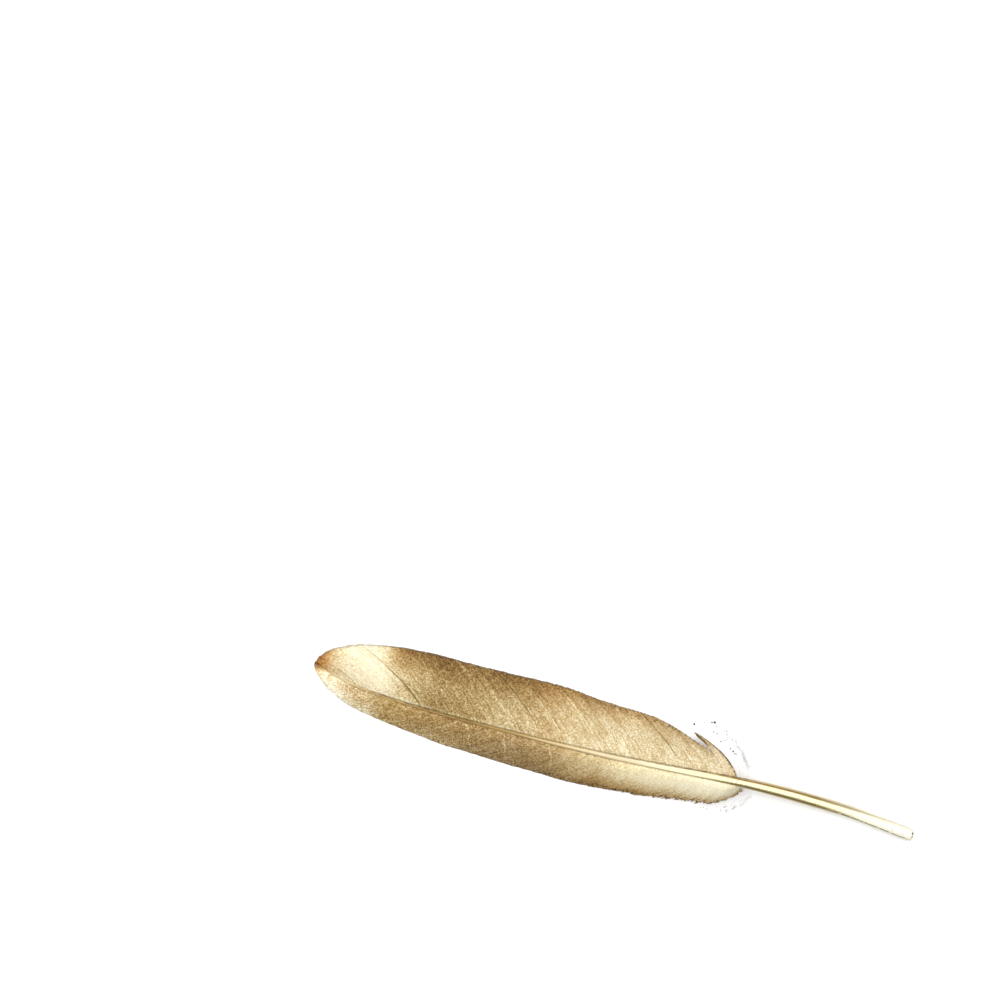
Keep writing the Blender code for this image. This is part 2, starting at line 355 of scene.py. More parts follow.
def shaft_material():
    material, tree, shader = new_material("gilded_shaft", 0.8, 0.22)
    shader.inputs["Specular IOR Level"].default_value = 0.2
    flakes = placed_group(tree, gold_flakes, Flakes_per_mm=5.0, Contrast=0.5)
    streaks_per_metre = (40, 900, 900)  # few along the shaft, many across it
    where = add(tree, "TexCoord").outputs["Object"]
    long_way = add(tree, "Mapping", vector=where, scale=streaks_per_metre)
    streaks = add(tree, "TexNoise", vector=long_way.outputs[0], scale=1.0, detail=4.0).outputs[0]
    tone = swayed(tree, streaks, flakes.outputs["Flake"], 0.5)
    across = times(tree, plus(tree, mark(tree, "across"), 1.0), 0.5)

    top = over_length(tree, ((1, (0.36, 0.18, 0.05)), (5, (0.55, 0.41, 0.20)),
                             (14, (0.56, 0.44, 0.23)), (21, (0.49, 0.35, 0.15)),
                             (35, (0.35, 0.225, 0.07)), (46, (0.27, 0.165, 0.045)),
                             (60, (0.35, 0.235, 0.08)), (72, (0.47, 0.36, 0.18)),
                             (86, (0.585, 0.48, 0.295)), (100, (0.68, 0.60, 0.39)),
                             (115, (0.68, 0.60, 0.37)), (150, (0.70, 0.62, 0.37)),
                             (160, (0.78, 0.74, 0.54)), (176, (0.80, 0.77, 0.62))))
    colour = blend_colours(tree, 0.5, top, ramp(tree, tone, ((0.3, 0.6), (0.7, 1.0))), "MULTIPLY")

    # Painted reflections along the quill's sides: olive below, where the shaded table is mirrored, and brown
    # fading to tan above, where the dim room and then the lit table are mirrored
    painted_flank_reflections = ramp(tree, across, ((0.0, (0.52, 0.45, 0.31)), (0.10, (0.52, 0.45, 0.26)),
                                 (0.19, (0.34, 0.29, 0.14)), (0.24, (0.55, 0.49, 0.27)),
                                 (0.30, (1, 1, 1)), (0.67, (1, 1, 1)), (0.735, (0.72, 0.60, 0.46)),
                                 (0.80, (0.54, 0.43, 0.29)), (0.87, (0.64, 0.52, 0.40)),
                                 (0.93, (0.68, 0.58, 0.48)), (1.0, (0.76, 0.68, 0.58))))
    on_quill = over_length(tree, ((112, 0.0), (124, 1.0), (147, 1.0), (152, 0.6), (156, 0.15), (163, 0.03),
                                  (176, 0.0)))
    colour = blend_colours(tree, on_quill, colour, painted_flank_reflections, "MULTIPLY")

    # Painted reflections towards the end: only a thin broken dark line is left low on the quill, and a brown
    # one high on it
    broken_into_dashes = ramp(tree, noise_along(tree, 150.0), ((0.40, 0.3), (0.55, 1.0)))
    lower_middle = over_length(tree, ((146, 0.17), (156, 0.14), (165, 0.12), (171, 0.10), (176, 0.09)))
    lower_half = over_length(tree, ((150, 0.09), (160, 0.055), (170, 0.046)))
    lower_reach = over_length(tree, ((147, 0.0), (154, 0.6), (160, 1.0), (174.4, 1.0), (175.4, 0.0)))
    lower_line = times(tree, line_across(tree, across, lower_middle, lower_half), 2.1)
    lower_line = times(tree, lower_line, lower_reach)
    colour = blend_colours(tree, times(tree, lower_line, broken_into_dashes), colour, (0.035, 0.035, 0.012, 1))
    upper_middle = over_length(tree, ((147, 0.80), (156, 0.81), (161, 0.85), (165, 0.875), (171, 0.93),
                                      (176, 0.95)))
    upper_half = over_length(tree, ((148, 0.16), (156, 0.21), (161, 0.14), (165, 0.09), (176, 0.06)))
    upper_line = times(tree, line_across(tree, across, upper_middle, upper_half),
                       over_length(tree, ((148, 0.0), (152, 0.5), (156, 0.85), (161, 0.85), (175, 0.5))))
    colour = blend_colours(tree, upper_line, colour, (0.27, 0.215, 0.14, 1))

    # Painted shade: dark lines beside the rachis, for the shade in the grooves between it and the barbs
    broad_side_painted_shade = times(tree, ramp(tree, across, ((0.83, 0.0), (0.92, 1.0))),
                       over_length(tree, ((80, 0.0), (92, 0.45), (106, 0.85), (124, 0.9), (131, 0.0))))
    painted_shade_near_tip = times(tree, ramp(tree, across, ((0.38, 0.0), (0.52, 1.0))),
                     over_length(tree, ((11, 0.0), (16, 0.8), (22, 1.0), (40, 1.0), (46, 0.7), (53, 0.0))))
    broad_side_painted_shade = plus(tree, broad_side_painted_shade, painted_shade_near_tip)
    narrow_side_painted_shade = times(tree, ramp(tree, across, ((0.06, 1.0), (0.16, 0.0))),
                        over_length(tree, ((70, 0.0), (80, 0.12), (95, 0.22), (108, 0.45), (124, 0.8),
                                           (131, 0.0))))
    dashes = ramp(tree, noise_along(tree, 70.0), ((0.42, 0.35), (0.56, 1.0)))
    painted_groove_shade = times(tree, plus(tree, broad_side_painted_shade, narrow_side_painted_shade), dashes)
    colour = blend_colours(tree, painted_groove_shade, colour, (0.13, 0.08, 0.026, 1))

    specks = placed_group(tree, paint_specks, Specks_per_mm=1.1, Share_Bare=0.66).outputs["Speck"]
    at_end = over_length(tree, ((168, 0.0), (174.5, 0.4), (176, 1.0)))
    colour = blend_colours(tree, times(tree, specks, at_end), colour, (0.12, 0.12, 0.06, 1))
    cut_end = over_length(tree, ((175.1, 0.0), (175.6, 0.5), (176, 0.85)))
    colour = blend_colours(tree, cut_end, colour, (0.46, 0.46, 0.32, 1))
    for station, side, size, strength in end_drops:
        drop = times(tree, drop_on_shaft(tree, across, station, side, size), strength)
        colour = blend_colours(tree, drop, colour, (0.07, 0.08, 0.035, 1))

    rough = over_length(tree, ((0, 0.5), (60, 0.45), (90, 0.34), (114, 0.28), (126, 0.18), (150, 0.16),
                               (176, 0.24)))
    rough = plus(tree, rough, times(tree, flakes.outputs["Flake"], 0.12))
    relief = plus(tree, flakes.outputs["Height"], times(tree, streaks, 1.5))
    metal = over_length(tree, ((0, 0.1), (14, 0.15), (25, 0.2), (60, 0.12), (95, 0.3), (114, 0.5),
                               (124, 0.75), (147, 0.8), (154, 0.4), (160, 0.14), (176, 0.06)))
    tree.links.new(metal, shader.inputs["Metallic"])
    finish_with(tree, shader, colour, rough, relief, 0.02 * MM, 0.6)
    return material


ring_stations, ring_points = shaft_rings()
ring_centres = np.array(place(ring_stations, smooth(shaft_line, ring_stations), 0))[:, 1]
ring_reach = np.abs(ring_points[..., 1] - ring_centres[:, None])
shaft_marks = {
    "along": np.broadcast_to(ring_stations[:, None] / length, ring_reach.shape),
    "across": (ring_points[..., 1] - ring_centres[:, None]) / ring_reach.max(axis=1, keepdims=True),
}
shaft = new_piece("quill_and_rachis", ring_points, tube_faces(len(ring_points), shaft_sides),
                  shaft_material(), shaft_marks)
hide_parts("shaft")

# The broad vane
# Some 240 barbs grow side by side from the rachis, each a thin horn strip with a raised spine, hooked under
# the next. Where some came unhooked the vane has parted, widest beside a flap at its base.
root_height_share = 0.35
edge_thickness = 0.28 * MM
droop_power = 1.7
barb_bulge = ((0, 0.09), (110, 0.09), (123, 0.19))
barb_bend_share = 0.36
barb_step = 0.5 * MM
barb_rows = 26
# Each strip narrows to a point over its last rows: their shares of its length, and of its width
tip_rows = (0.94, 0.965, 0.985, 1.0)
tip_widths = (1, 0.92, 0.75, 0.4)
barb_thinning = 0.35  # towards its end
barb_sink = 0.9  # the barbs spring from inside the rachis, at this share of its half width

# Across one barb: where each point lies against the step between barbs, and its height
barb_top = ((-0.58, -0.10), (-0.30, -0.05), (-0.09, -0.02), (0.0, 0.045), (0.10, -0.01), (0.42, -0.01),
            (0.60, -0.03))
barb_under = ((0.58, -0.07), (0.0, -0.11), (-0.56, -0.14))

broad_barbs = ((123.4, 109.0, 11.05), (109.8, 94.3, 12.1), (97.1, 81.0, 12.4), (88.6, 71.1, 13.2),
               (66.1, 47.1, 12.3), (49.1, 30.2, 11.9), (40.7, 20.0, 10.75), (32.4, 11.1, 8.7),
               (23.7, 5.2, 6.25), (17.4, 2.2, 3.9), (12.0, 0.7, 2.1), (6.8, 0.1, 0.8), (3.4, 0.0, 0.25),
               (2.0, 0.0, -0.1))
broad_edge_lift = ((0, 0.3), (15, 0.12), (40, 0.0), (70, 0.0), (95, 0.5), (111, 1.3))
# Partings: root station, share of the length still hooked, how far the barbs move towards the tip and towards
# the quill, over what width of roots, and the step down across it
broad_partings = ((120.5, 0.56, 0.1, 1.05, 2.9, 0.0), (108.0, 0.2, 0.04, 0.04, 4.0, 0.12),
                  (57.0, 0.8, 0.06, 0.06, 4.0, 0.05), (32.5, 0.1, 0.04, 0.04, 4.0, 0.15),
                  (76.0, 0.6, 0.06, 0.06, 3.0, 0.08), (92.0, 0.72, 0.07, 0.07, 3.0, 0.06))
# How much of its length each barb keeps: those beside the flap broke off short
broad_reach = ((0, 1.0), (113.0, 1.0), (114.5, 0.97), (115.8, 0.92), (116.8, 0.85), (117.8, 0.75),
               (118.7, 0.64), (119.6, 0.565), (120.45, 0.56), (120.55, 0.92), (122.0, 0.96), (123.4, 1.0))
# Painted shade and highlight along creases: root station, the shares they run between, and how dark (below
# nought, painted shade) or pale (painted highlight) they are
broad_crease_shading = ((32.6, 0.1, 0.6, -1.2), (32.6, 0.0, 1.0, -0.7), (31.9, 0.05, 1.0, 0.3),
                 (108.2, 0.22, 1.0, -1.6), (57.3, 0.74, 1.0, 1.0), (56.8, 0.8, 1.0, 0.7),
                 (8.6, 0.05, 0.8, -0.5), (9.7, 0.0, 0.75, -0.6), (10.8, 0.0, 0.7, -0.6),
                 (12.0, 0.0, 0.7, -0.55), (13.3, 0.0, 0.55, -0.5), (12.5, 0.3, 0.9, -0.5),
                 (66.0, 0.1, 0.7, 0.35), (84.0, 0.15, 0.75, 0.35), (47.0, 0.2, 0.8, 0.3),
                 (68.4, 0.2, 0.9, -0.8), (71.6, 0.15, 0.6, -0.6), (74.6, 0.2, 0.7, 0.4),
                 (75.3, 0.2, 0.85, -0.8), (80.0, 0.25, 0.8, -0.5), (120.7, 0.7, 1.0, -2.8),
                 (121.2, 0.76, 1.0, -1.8), (122.3, 0.7, 0.97, 0.9), (123.3, 0.15, 1.0, -2.2))
broad_fray = ((0, 1.0), (78, 1.0), (90, 2.0), (110, 2.2), (121, 1.8), (124, 2.5))
lock_size = (5, 12)  # barbs in a lock
# How far locks, and the barbs in them, differ: in height and reach in millimetres, and in tone
lock_height_spread, lock_reach_spread, lock_tone_spread = 0.028, 0.10, 0.12
barb_height_spread, barb_reach_spread, barb_tone_spread = 0.012, 0.09, 0.16
full_spread_length = 8 * MM  # shorter barbs differ less
parting_power = 0.25  # how soon a parting is at its full width
drop_fade = 2.5  # millimetres over which the step at a parting evens out
crease_half_width = 0.26 * MM
crease_sharpness = 12  # of a crease's ends
margin_from, margin_run, last_barb_margin = 0.8, 0.13, 0.9 * MM


def barb_stations(barbs, step):
    """Where the barbs grow, so that they lie about a step apart halfway along."""
    low, high = barbs[-1][0] * MM, barbs[0][0] * MM
    fine = np.linspace(low, high, 2000)
    ends = np.stack([smooth([(r, e) for r, e, _ in barbs], fine),
                     smooth([(r, a) for r, _, a in barbs], fine)])
    walked = 0.5 * np.diff(fine) + 0.5 * np.linalg.norm(np.diff(ends), axis=0)
    run = np.concatenate([[0], np.cumsum(walked)])
    return np.interp(np.linspace(0, run[-1], round(run[-1] / step) + 1), run, fine)


def barb_lines(barbs, roots, share, bulge, shift=0.0):
    """The middle lines of barbs in plan, as stations and sides: barb by barb, share by share."""
    side = math.copysign(1, barbs[0][2])
    start = np.stack([roots, smooth(shaft_line, roots) + side * smooth(shaft_half_width, roots) * barb_sink],
                      -1)
    end = np.stack([smooth([(r, e) for r, e, _ in barbs], roots) + shift,
                    smooth([(r, a) for r, _, a in barbs], roots)], -1)
    run = end - start
    outward = np.stack([run[:, 1], -run[:, 0]], -1) * side
    bend = start + run * barb_bend_share + outward * smooth(bulge, roots, 1)[:, None]
    t = np.atleast_2d(share)[..., None]
    return (1 - t) ** 2 * start[:, None] + 2 * t * (1 - t) * bend[:, None] + t * t * end[:, None]


def drooping(roots, ends, edge_lift, out):
    """Heights along barbs that leave the shaft's upper half and droop to the edge, as out goes up to one."""
    root_height = smooth(shaft_rise, roots) + root_height_share * smooth(shaft_half_height, roots)
    edge_height = edge_thickness + smooth(edge_lift, ends)
    return root_height[:, None] + (edge_height - root_height)[:, None] * out ** droop_power


def locks_of(count, draw):
    """A number for each barb: the lock it belongs to."""
    sizes = []
    while sum(sizes) < count:
        sizes.append(int(draw.integers(*lock_size)))
    return np.repeat(np.arange(len(sizes)), sizes)[:count]


def vane(name, barbs, edge_lift, reach, partings, crease_shading, fray, material, seed):
    """Every barb of a vane as a closed strip, in one mesh, with marks for where on the vane each point is."""
    draw = np.random.default_rng(seed)
    roots = barb_stations(barbs, barb_step)
    count = len(roots)
    share = np.concatenate([np.linspace(0, tip_rows[0], barb_rows - len(tip_rows) + 1), tip_rows[1:]])
    kept = share[None] * smooth(reach, roots, 1)[:, None]
    lines = barb_lines(barbs, roots, kept, barb_bulge)

    def across_barbs():
        """Directions along the barbs, and across them towards the tip, and the steps between them."""
        along = np.gradient(lines, axis=1)
        along /= np.linalg.norm(along, axis=2, keepdims=True)
        across = np.stack([-along[..., 1], along[..., 0]], -1)
        across *= -np.sign(across[..., :1].mean(axis=1, keepdims=True))
        return along, across, np.abs(np.sum(np.gradient(lines, axis=0) * across, axis=2))

    whole_step = across_barbs()[2]
    lock = locks_of(count, draw)
    locks = lock.max() + 1
    lock_height = draw.normal(0, lock_height_spread, locks)[lock] * MM
    lock_reach = draw.normal(0, lock_reach_spread, locks)[lock] * MM
    barb_height = draw.normal(0, barb_height_spread, count) * MM
    barb_reach = draw.normal(0, barb_reach_spread, count) * smooth(fray, roots, 1) * MM
    barb_tone = 0.5 + draw.normal(0, barb_tone_spread, count)
    barb_tone += draw.normal(0, lock_tone_spread, locks)[lock]

    # The barbs on both sides of a parting bunch up, most at the edge, and one side lies lower
    drops = np.zeros(lines.shape[:2])
    for station, held, tipward, baseward, width, drop in partings:
        away = (roots - station * MM) / MM
        near = np.clip(1 - np.abs(away) / width, 0, 1)
        push = np.where(away < 0, -tipward, baseward) * near * MM
        lines[..., 0] += push[:, None] * np.clip((kept - held) / (1 - held), 0, 1) ** parting_power
        lower = np.where(away < 0, np.exp(away / drop_fade), 0)
        drops += drop * MM * lower[:, None] * np.clip((share - held * 0.6) * 4, 0, 1)[None]
    along, across, step = across_barbs()
    step = np.minimum(step, whole_step)

    full = np.clip(np.linalg.norm(lines[:, -1] - lines[:, 0], axis=1) / full_spread_length, 0, 1)
    lines += along * ((barb_reach + lock_reach) * full)[:, None, None] * (share ** 3)[None, :, None]
    height = drooping(roots, lines[:, -1, 0], edge_lift, 0.5 * (share + kept))
    bow = np.sin(math.pi * np.clip(share, 0, 0.85))
    height += ((lock_height + barb_height) * full)[:, None] * bow[None]
    height -= drops

    narrow = np.interp(share, (0, *tip_rows), (1, *tip_widths))
    section = np.array(barb_top + barb_under)
    offset = section[:, 0][None, None] * (step * narrow[None])[..., None]
    plan = lines[:, :, None] + across[:, :, None] * offset[..., None]
    depth = (1 - barb_thinning * share) * np.sqrt(narrow)
    up = height[..., None] + section[:, 1][None, None] * MM * depth[None, :, None]
    points = place(plan[..., 0], plan[..., 1], up)

    painted_crease_light = np.zeros((count, len(share)))
    for station, begin, end, strength in crease_shading:
        beside = np.exp(-(((roots - station * MM) / crease_half_width) ** 2))
        within = np.clip((share - begin) * crease_sharpness, 0, 1)
        within *= np.clip((end - share) * crease_sharpness + 1, 0, 1)
        painted_crease_light += strength * beside[:, None] * within[None]

    # The margin runs along the barbs' ends and down the last barb
    last_barbs = np.clip((roots - roots[-1]) / last_barb_margin + 1, 0, 1)
    margin = np.clip((share - margin_from) / margin_run, 0, 1)[None] + last_barbs[:, None]

    # A barb that runs to the broad side turns its faces the other way round
    rows, sides = len(share), len(section)
    faces = []
    for barb in range(count):
        strip = tube_faces(rows, sides, barb * rows * sides)
        to_broad_side = along[barb, :, 1].mean() > 0
        faces += [face[::-1] for face in strip] if to_broad_side else strip
    shape = (count, rows, sides)
    marks = {
        "along": np.broadcast_to(lines[..., :1] / length, shape),
        "barb_share": np.broadcast_to(share[None, :, None], shape),
        "root_station": np.broadcast_to((roots / length)[:, None, None], shape),
        "barb_tone": np.broadcast_to(np.clip(barb_tone, 0, 1)[:, None, None], shape),
        "painted_crease_light": painted_crease_light[..., None] * (section[:, 0] > -0.2)[None, None],
        "margin": np.broadcast_to(np.clip(margin, 0, 1)[..., None], shape),
    }
    return new_piece(name, points, faces, material, marks)


def barb_streak_group():
    """Fine lines along the barbs, soft bands where locks catch the light, and the way out to the margin."""
    tree, given, result = group_with("barb_streaks", (("Streaks per mm", 1.4), ("Rim Width", 0.03)),
                                     (("Streak", "Float"), ("Band", "Float"), ("Outer", "Float"),
                                      ("Rim", "Float")))
    bands_per_streak = 0.16
    outer_from, outer_gain, outer_power = 0.45, 1.82, 1.5
    share, station = mark(tree, "barb_share"), mark(tree, "root_station")
    per_length = times(tree, given.outputs["Streaks per mm"], length / MM)

    def noise_along_barbs(per_barb, per_vane, detail):
        where = add(tree, "CombineXYZ", x=times(tree, share, per_barb), y=times(tree, station, per_vane))
        return add(tree, "TexNoise", vector=where.outputs[0], scale=1.0, detail=detail).outputs[0]

    fine_noise = noise_along_barbs(3.0, per_length, 2.0)
    wide_noise = noise_along_barbs(2.0, times(tree, per_length, bands_per_streak), 1.5)
    past_middle = times(tree, minus(tree, share, outer_from), outer_gain)
    outer = math_node(tree, "POWER", math_node(tree, "MAXIMUM", past_middle, 0.0), outer_power)
    from_edge = math_node(tree, "DIVIDE", minus(tree, 1.0, share), given.outputs["Rim Width"])
    rim = minus(tree, 1.0, math_node(tree, "MINIMUM", from_edge, 1.0))
    for socket, value in (("Streak", fine_noise), ("Band", wide_noise), ("Outer", outer), ("Rim", rim)):
        tree.links.new(value, result.inputs[socket])
    return tree


barb_streaks = barb_streak_group()

# Gold on barbs, from bare brown horn to the thickest, palest coat; the tone that picks from it also carries
# the painted highlight and shade
gold_tones = ((0.0, (0.108, 0.054, 0.015)), (0.16, (0.186, 0.106, 0.036)),
              (0.32, (0.279, 0.176, 0.060)), (0.48, (0.394, 0.272, 0.110)),
              (0.64, (0.537, 0.425, 0.240)), (0.70, (0.595, 0.500, 0.300)),
              (0.75, (0.640, 0.570, 0.375)), (0.80, (0.690, 0.635, 0.445)),
              (1.0, (0.870, 0.820, 0.650)))


def signed_over_length(tree, stops):
    """A ramp along the feather whose values may lie below nought."""
    return minus(tree, over_length(tree, [(s, v + 0.5) for s, v in stops]), 0.5)


def vane_material(name, coat_and_painted_light_stops, painted_shade_outwards_stops, painted_light_beside_rachis_stops, rim_stops, speck_stops, grain_stops,
                  streak_stops, tint_stops, brown_stops, extra_lines=()):
    """Gold on barbs. Stops along the vane give how pale the coat is, with painted highlight and shade where
    the vane's curve turns it to or from the light; the painted shade outwards where it curves down to its
    margin (painted highlight where negative); the painted highlight beside the rachis (painted shade where
    negative);
    how dark its rim is, how many beads of paint dried on its margin, how strong its grain and its streaks
    are, its tint, and how much browner it gets outwards."""
    blotch_weight, band_weight, streak_weight, barb_weight = 0.34, 0.28, 0.5, 0.16
    usual_level, crease_weight, coarser_outwards = 0.14, 0.4, 0.4
    material, tree, shader = new_material(name, 0.75, 0.42)
    flakes = placed_group(tree, gold_flakes, Flakes_per_mm=3.8, Contrast=1.25)
    streaks = placed_group(tree, barb_streaks, Streaks_per_mm=2.0, Rim_Width=0.035)
    blotches = noise_in_space(tree, scale=110.0, detail=4.0)
    # Paler or darker along the vane: partly the coat, partly painted highlight and shade from the vane's
    # curve
    coat = times(tree, over_length(tree, coat_and_painted_light_stops), 1.25)
    # Painted shade towards the margin, where the vane curves down away from the light; painted highlight
    # where the stops are negative
    painted_shade_outwards = times(tree, signed_over_length(tree, painted_shade_outwards_stops), streaks.outputs["Outer"])
    tone = minus(tree, coat, painted_shade_outwards)
    # Painted highlight on the barbs' roots beside the rachis; painted shade where the stops are negative
    beside = ramp(tree, mark(tree, "barb_share"), ((0.0, 1.0), (0.035, 1.0), (0.08, 0.0)))
    tone = plus(tree, tone, times(tree, beside, signed_over_length(tree, painted_light_beside_rachis_stops)))
    tone = swayed(tree, tone, blotches, blotch_weight)
    bands = times(tree, streaks.outputs["Band"], band_weight)
    lines = swayed(tree, bands, streaks.outputs["Streak"], streak_weight)
    lines = swayed(tree, lines, mark(tree, "barb_tone"), barb_weight)
    lines = minus(tree, lines, usual_level)
    tone = plus(tree, tone, times(tree, lines, over_length(tree, streak_stops)))
    coarser = plus(tree, times(tree, streaks.outputs["Outer"], coarser_outwards), 1.0)
    grain = times(tree, over_length(tree, grain_stops), coarser)
    tone = swayed(tree, tone, flakes.outputs["Flake"], grain)
    # Creases add their painted shade and highlight to the tone
    for line in (mark(tree, "painted_crease_light"), *(extra(tree) for extra in extra_lines)):
        tone = plus(tree, tone, times(tree, line, crease_weight))
    colour = ramp(tree, times(tree, tone, 0.8), gold_tones)
    colour = blend_colours(tree, 1.0, colour, over_length(tree, tint_stops), "MULTIPLY")
    browner = times(tree, streaks.outputs["Outer"], over_length(tree, brown_stops))
    colour = blend_colours(tree, browner, colour, (1.0, 0.78, 0.50, 1), "MULTIPLY")
    rim = times(tree, streaks.outputs["Rim"], over_length(tree, rim_stops))
    colour = blend_colours(tree, rim, colour, (0.10, 0.05, 0.018, 1))
    specks = placed_group(tree, paint_specks, Specks_per_mm=1.6, Share_Bare=0.52).outputs["Speck"]
    beads = times(tree, times(tree, specks, mark(tree, "margin")), over_length(tree, speck_stops))
    colour = blend_colours(tree, beads, colour, (0.05, 0.03, 0.015, 1))
    rough = ramp(tree, flakes.outputs["Flake"], ((0.2, 0.6), (0.8, 0.34)))
    relief = plus(tree, flakes.outputs["Height"], times(tree, streaks.outputs["Streak"], 0.8))
    finish_with(tree, shader, colour, rough, relief, 0.04 * MM, 0.7)
    return material


broad_gold = vane_material(
    "gilded_broad_vane",
    coat_and_painted_light_stops=((0, 0.2), (2.2, 0.42), (4.5, 0.66), (8, 0.78), (13, 0.865), (19, 0.865), (22.5, 0.71),
                (24.5, 0.65), (28.5, 0.57), (36, 0.36), (45, 0.40), (56, 0.53), (68, 0.53), (79, 0.645),
                (91, 0.70), (102, 0.67), (124, 0.65)),
    painted_shade_outwards_stops=((0, 0.1), (8, -0.05), (16, 0.0), (19, 0.2), (22.4, 0.55), (24.5, 0.6), (29, 0.52),
                 (38, 0.27), (46, 0.15), (57, 0.58), (68, 0.28), (80, 0.27), (91, 0.18), (103, 0.16),
                 (124, 0.25)),
    painted_light_beside_rachis_stops=((3, 0.0), (6, -0.12), (12, -0.1), (16, 0.06), (25, 0.10), (32, 0.20), (42, 0.19), (52, 0.15),
                 (62, 0.11), (72, 0.07), (84, 0.02), (92, 0.0), (124, 0.01)),
    rim_stops=((0, 0.7), (6, 0.5), (16, 0.45), (22, 0.95), (42, 0.95), (80, 0.8), (100, 0.5), (124, 0.9)),
    speck_stops=((36, 0.0), (44, 0.4), (60, 0.3), (84, 0.7), (96, 0.6), (106, 0.9), (124, 1.0)),
    grain_stops=((0, 0.3), (6, 0.24), (18, 0.2), (24, 0.34), (36, 0.48), (50, 0.44), (68, 0.38), (80, 0.27),
                 (100, 0.28), (124, 0.25)),
    streak_stops=((0, 1.0), (6, 0.6), (10, 0.45), (19, 0.4), (24, 0.8), (30, 1.0), (95, 1.0), (108, 0.7),
                  (124, 0.6)),
    tint_stops=((0, (1.16, 0.80, 0.50)), (2.5, (1.08, 0.84, 0.60)), (5, (1.0, 0.94, 0.86)),
                (9, (0.98, 0.95, 0.94)), (24, (0.98, 0.96, 0.94)), (30, (1.0, 1.04, 1.04)),
                (46, (1.0, 1.03, 1.0)), (58, (1.0, 1.03, 1.06)), (69, (1.0, 0.97, 0.94)),
                (80, (1.0, 1.0, 1.02)), (95, (1.0, 1.0, 1.02)), (124, (0.97, 0.97, 1.04))),
    brown_stops=((18, 0.0), (24, 0.4), (36, 0.4), (44, 0.25), (52, 0.5), (62, 0.6), (80, 0.6), (92, 0.8),
                 (102, 0.3), (124, 0.1)))
broad = vane("broad_vane_barbs", broad_barbs, broad_edge_lift, broad_reach, broad_partings, broad_crease_shading,
             broad_fray, broad_gold, 11)
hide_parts("broad_vane")

# The narrow vane
# The barbs on the feather's leading side are shorter, stiffer and more upright, and lie closer to the rachis.
# The last of them end in a pointed lobe beside the quill, with down below it.
narrow_barbs = ((124.5, 126.2, -1.4), (123.4, 123.6, -4.2), (121.1, 118.3, -7.3), (118.3, 113.5, -8.1),
                (105.6, 95.7, -10.8), (85.8, 74.0, -12.6), (57.6, 44.0, -12.3), (40.7, 28.5, -11.0),
                (25.1, 14.7, -9.2), (18.1, 9.0, -7.5), (9.6, 3.4, -4.1), (5.0, 0.9, -1.8), (2.8, 0.1, -0.6),
                (1.8, 0.05, -0.3))
narrow_edge_lift = ((0, 0.3), (15, 0.14), (40, 0.0), (70, 0.0), (95, 0.45), (115, 1.2), (127, 2.2))
narrow_reach = ((0, 1.0), (125, 1.0))
narrow_partings = ((14.6, 0.7, 0.2, 0.2, 4.0, 0.0), (118.5, 0.85, 0.2, 0.2, 3.0, 0.0),
                   (48.0, 0.55, 0.05, 0.05, 4.0, 0.08))
# Painted shade and highlight along creases, as for the broad vane
narrow_crease_shading = ((48.0, 0.62, 1.0, 0.6), (26.0, 0.4, 1.0, 0.3), (96.0, 0.3, 0.9, 0.25),
                  (124.3, 0.55, 1.0, -1.4), (123.8, 0.7, 1.0, -1.2))
narrow_fray = ((0, 1.0), (78, 1.2), (104, 1.8), (113, 4.0), (121, 5.5), (125, 5.0))
# Bends across the barbs, with beads of paint along them: station at the rachis and at the margin
narrow_bends = ((45.6, 49.6), (56.6, 60.2), (70.2, 73.0))
bend_half_width = 0.3 * MM
bend_waver = 0.012  # of the feather's length


def bend_group():
    """A wavering pale line across a vane, broken into beads."""
    tree, given, result = group_with("bend_with_beads", (("From Station", 0.3), ("To Station", 0.3)),
                                     (("Line", "Float"),))
    share = mark(tree, "barb_share")
    run = minus(tree, given.outputs["To Station"], given.outputs["From Station"])
    middle = plus(tree, given.outputs["From Station"], times(tree, share, run))
    middle = swayed(tree, middle, noise_in_space(tree, scale=420.0, detail=1.0), bend_waver)
    off = math_node(tree, "ABSOLUTE", minus(tree, mark(tree, "along"), middle))
    line = minus(tree, 1.0, times(tree, off, length / bend_half_width))
    line = math_node(tree, "MAXIMUM", line, 0.0)
    beads = ramp(tree, noise_in_space(tree, scale=900.0, detail=1.0), ((0.42, 0.25), (0.58, 1.0)))
    ends = ramp(tree, share, ((0.04, 0.0), (0.12, 1.0), (0.78, 1.0), (0.92, 0.0)))
    line = times(tree, times(tree, line, beads), ends)
    tree.links.new(line, result.inputs["Line"])
    return tree


bend_with_beads = bend_group()


def bend_line(begin, end):
    def line(tree):
        return placed_group(tree, bend_with_beads, From_Station=begin * MM / length,
                            To_Station=end * MM / length).outputs["Line"]
    return line


